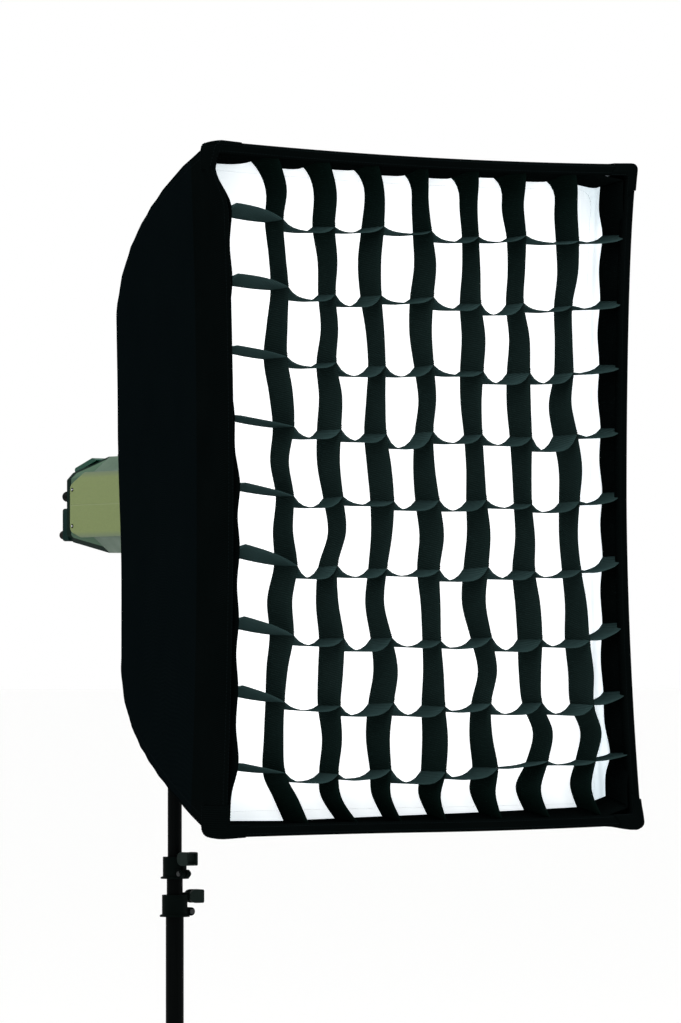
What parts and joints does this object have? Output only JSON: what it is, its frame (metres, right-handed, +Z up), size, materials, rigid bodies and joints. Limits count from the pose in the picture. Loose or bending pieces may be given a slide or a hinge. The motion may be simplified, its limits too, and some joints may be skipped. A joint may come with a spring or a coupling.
{
  "type": "monolight strobe",
  "caption": "Studio strobe head carrying a deep rectangular softbox with a fabric egg-crate grid, on a telescopic stand with braced folding legs.",
  "frame": {"origin": "on the floor, under the centre of the bounding box", "axes": "+Z up; the light shines toward -Y and its rear controls face +Y; +X is to the right for someone who looks at the grid from the front"},
  "size_m": [1.0296, 0.9854, 2.0794],
  "materials": {
    "black_nylon": "black woven nylon, matt",
    "grid_nylon": "black ribbed nylon tape, matt",
    "white_nylon": "white translucent nylon",
    "spring_steel": "drawn spring steel",
    "black_casting": "black powder coat on cast aluminium",
    "black_tube": "black satin coat on aluminium tube",
    "clamp_plastic": "black glass-filled nylon",
    "knob_plastic": "black moulded plastic",
    "bright_steel": "bright machined steel",
    "champagne_paint": "champagne satin paint on sheet aluminium",
    "grey_paint": "grey satin paint on extruded aluminium",
    "dark_plastic": "dark grey moulded plastic",
    "teal_plastic": "dark green moulded plastic",
    "block_plastic": "dark grey moulded plastic",
    "rubber": "black rubber",
    "reflector_metal": "bright spun aluminium",
    "lamp_glass": "clear glass",
    "sensor_plastic": "dark red translucent plastic",
    "board_laminate": "green laminate",
    "capacitor_sleeve": "blue sleeve",
    "fan_plastic": "black moulded plastic"
  },
  "bodies": {
    "stand_base": {"base_collar": "clamp_plastic", "lower_tube": "black_tube", "lower_clamp_collar": "clamp_plastic", "lower_clamp_bolt": "bright_steel"},
    "crown": {"leg_crown": "clamp_plastic"},
    "crown_knob": {"crown_knob": "knob_plastic"},
    "leg_front": {"leg_front": "black_tube", "foot_front": "rubber"},
    "leg_right": {"leg_right": "black_tube", "foot_right": "rubber"},
    "leg_left": {"leg_left": "black_tube", "foot_left": "rubber"},
    "brace_front": {"brace_front": "black_tube"},
    "brace_right": {"brace_right": "black_tube"},
    "brace_left": {"brace_left": "black_tube"},
    "lower_lever": {"lower_clamp_lever": "clamp_plastic"},
    "middle_section": {"middle_tube": "black_tube", "upper_clamp_collar": "clamp_plastic", "upper_clamp_bolt": "bright_steel"},
    "upper_lever": {"upper_clamp_lever": "clamp_plastic"},
    "upper_section": {"upper_tube": "black_tube", "spigot": "bright_steel"},
    "bracket": {"bracket_base": "black_casting"},
    "socket_screw": {"socket_screw": "knob_plastic"},
    "tilt_handle": {"tilt_handle": "knob_plastic"},
    "head": {"tilt_arm": "black_casting", "housing": "grey_paint", "side_panel_left": "champagne_paint", "side_panel_right": "champagne_paint", "sensor_dome": "sensor_plastic", "rear_cap": "dark_plastic", "carry_handle": "teal_plastic", "control_panel": "block_plastic", "power_block": "block_plastic", "fuse_cap": "rubber", "mains_inlet": "rubber", "front_mount": "black_casting", "reflector": "reflector_metal", "flash_tube": "lamp_glass", "modelling_lamp": "lamp_glass", "circuit_board": "board_laminate", "capacitor": "capacitor_sleeve", "fan_frame": "fan_plastic", "bayonet_adapter": "bright_steel"},
    "softbox": {"speedring": "black_casting", "rod_top_right": "spring_steel", "rod_top_left": "spring_steel", "rod_bottom_left": "spring_steel", "rod_bottom_right": "spring_steel", "softbox_shell": "black_nylon", "front_diffuser": "white_nylon", "inner_baffle": "white_nylon", "egg_crate_grid": "grid_nylon"},
    "release_latch": {"release_latch": "knob_plastic"},
    "power_dial": {"power_dial": "knob_plastic"},
    "lamp_dial": {"lamp_dial": "knob_plastic"},
    "test_button": {"test_button": "knob_plastic"},
    "slave_button": {"slave_button": "knob_plastic"},
    "rocker_switch": {"rocker_switch": "knob_plastic"},
    "fan_rotor": {"fan_rotor": "fan_plastic"}
  },
  "joints": [
    {"name": "crown_slide", "type": "slide", "parent": "stand_base", "child": "crown", "axis": [0, 0, 1], "range_m": [0, 0.19629]},
    {"name": "crown_knob_turn", "type": "hinge", "parent": "crown", "child": "crown_knob", "pos_m": [0, 0.18927, 0.518], "axis": [0, 1, 0], "range_deg": [0, 360]},
    {"name": "leg_front_swing", "type": "hinge", "parent": "crown", "child": "leg_front", "pos_m": [0, 0.15527, 0.5], "axis": [1, 0, 0], "range_deg": [0, 44]},
    {"name": "leg_right_swing", "type": "hinge", "parent": "crown", "child": "leg_right", "pos_m": [0.02944, 0.20627, 0.5], "axis": [-0.5, 0.866, 0], "range_deg": [0, 44]},
    {"name": "leg_left_swing", "type": "hinge", "parent": "crown", "child": "leg_left", "pos_m": [-0.02944, 0.20627, 0.5], "axis": [-0.5, -0.866, 0], "range_deg": [0, 44]},
    {"name": "brace_front_swing", "type": "hinge", "parent": "stand_base", "child": "brace_front", "pos_m": [0, 0.15527, 0.098], "axis": [1, 0, 0], "range_deg": [-44, 0]},
    {"name": "brace_right_swing", "type": "hinge", "parent": "stand_base", "child": "brace_right", "pos_m": [0.02944, 0.20627, 0.098], "axis": [-0.5, 0.866, 0], "range_deg": [-44, 0]},
    {"name": "brace_left_swing", "type": "hinge", "parent": "stand_base", "child": "brace_left", "pos_m": [-0.02944, 0.20627, 0.098], "axis": [-0.5, -0.866, 0], "range_deg": [-44, 0]},
    {"name": "lower_lever_turn", "type": "hinge", "parent": "stand_base", "child": "lower_lever", "pos_m": [0.03133, 0.18597, 0.9697], "axis": [-0.1045, -0.9945, 0], "range_deg": [0, 80]},
    {"name": "middle_slide", "type": "slide", "parent": "stand_base", "child": "middle_section", "axis": [0, 0, 1], "range_m": [0, 0.62]},
    {"name": "upper_lever_turn", "type": "hinge", "parent": "middle_section", "child": "upper_lever", "pos_m": [0.00209, 0.15934, 1.0287], "axis": [-0.9976, -0.0698, 0], "range_deg": [0, 80]},
    {"name": "upper_slide", "type": "slide", "parent": "middle_section", "child": "upper_section", "axis": [0, 0, 1], "range_m": [-0.32, 0.3]},
    {"name": "pan_turn", "type": "hinge", "parent": "upper_section", "child": "bracket", "pos_m": [0, 0.18927, 1.3898], "axis": [0, 0, 1], "continuous": true},
    {"name": "socket_screw_turn", "type": "hinge", "parent": "bracket", "child": "socket_screw", "pos_m": [0, 0.18927, 1.4128], "axis": [0, 1, 0], "range_deg": [0, 360]},
    {"name": "tilt_handle_turn", "type": "hinge", "parent": "bracket", "child": "tilt_handle", "pos_m": [0, 0.18927, 1.4698], "axis": [1, 0, 0], "range_deg": [-35, 35]},
    {"name": "head_tilt", "type": "hinge", "parent": "bracket", "child": "head", "pos_m": [0, 0.18927, 1.4698], "axis": [-1, 0, 0], "range_deg": [-30, 60]},
    {"name": "softbox_spin", "type": "hinge", "parent": "head", "child": "softbox", "pos_m": [0, 0.18927, 1.5798], "axis": [0, -1, 0], "continuous": true},
    {"name": "latch_slide", "type": "slide", "parent": "head", "child": "release_latch", "axis": [0, 1, 0], "range_m": [0, 0.0035], "stiffness_N_per_m": 400},
    {"name": "power_dial_turn", "type": "hinge", "parent": "head", "child": "power_dial", "pos_m": [-0.046, 0.40907, 1.5943], "axis": [0, 1, 0], "range_deg": [-135, 135]},
    {"name": "lamp_dial_turn", "type": "hinge", "parent": "head", "child": "lamp_dial", "pos_m": [0.046, 0.40907, 1.5943], "axis": [0, 1, 0], "range_deg": [-135, 135]},
    {"name": "test_button_press", "type": "slide", "parent": "head", "child": "test_button", "axis": [0, -1, 0], "range_m": [0, 0.0015], "stiffness_N_per_m": 400},
    {"name": "slave_button_press", "type": "slide", "parent": "head", "child": "slave_button", "axis": [0, -1, 0], "range_m": [0, 0.0015], "stiffness_N_per_m": 400},
    {"name": "rocker_turn", "type": "hinge", "parent": "head", "child": "rocker_switch", "pos_m": [0.036, 0.41857, 1.54955], "axis": [1, 0, 0], "range_deg": [-14, 0]},
    {"name": "fan_spin", "type": "hinge", "parent": "head", "child": "fan_rotor", "pos_m": [0, 0.21927, 1.6408], "axis": [0, 0, 1], "continuous": true}
  ],
  "couplings": [
    {"joint": "leg_front_swing", "follows": "crown_slide", "rad_per_m": 3.9043},
    {"joint": "leg_right_swing", "follows": "crown_slide", "rad_per_m": 3.9043},
    {"joint": "leg_left_swing", "follows": "crown_slide", "rad_per_m": 3.9043},
    {"joint": "brace_front_swing", "follows": "crown_slide", "rad_per_m": -3.9043},
    {"joint": "brace_right_swing", "follows": "crown_slide", "rad_per_m": -3.9043},
    {"joint": "brace_left_swing", "follows": "crown_slide", "rad_per_m": -3.9043}
  ]
}
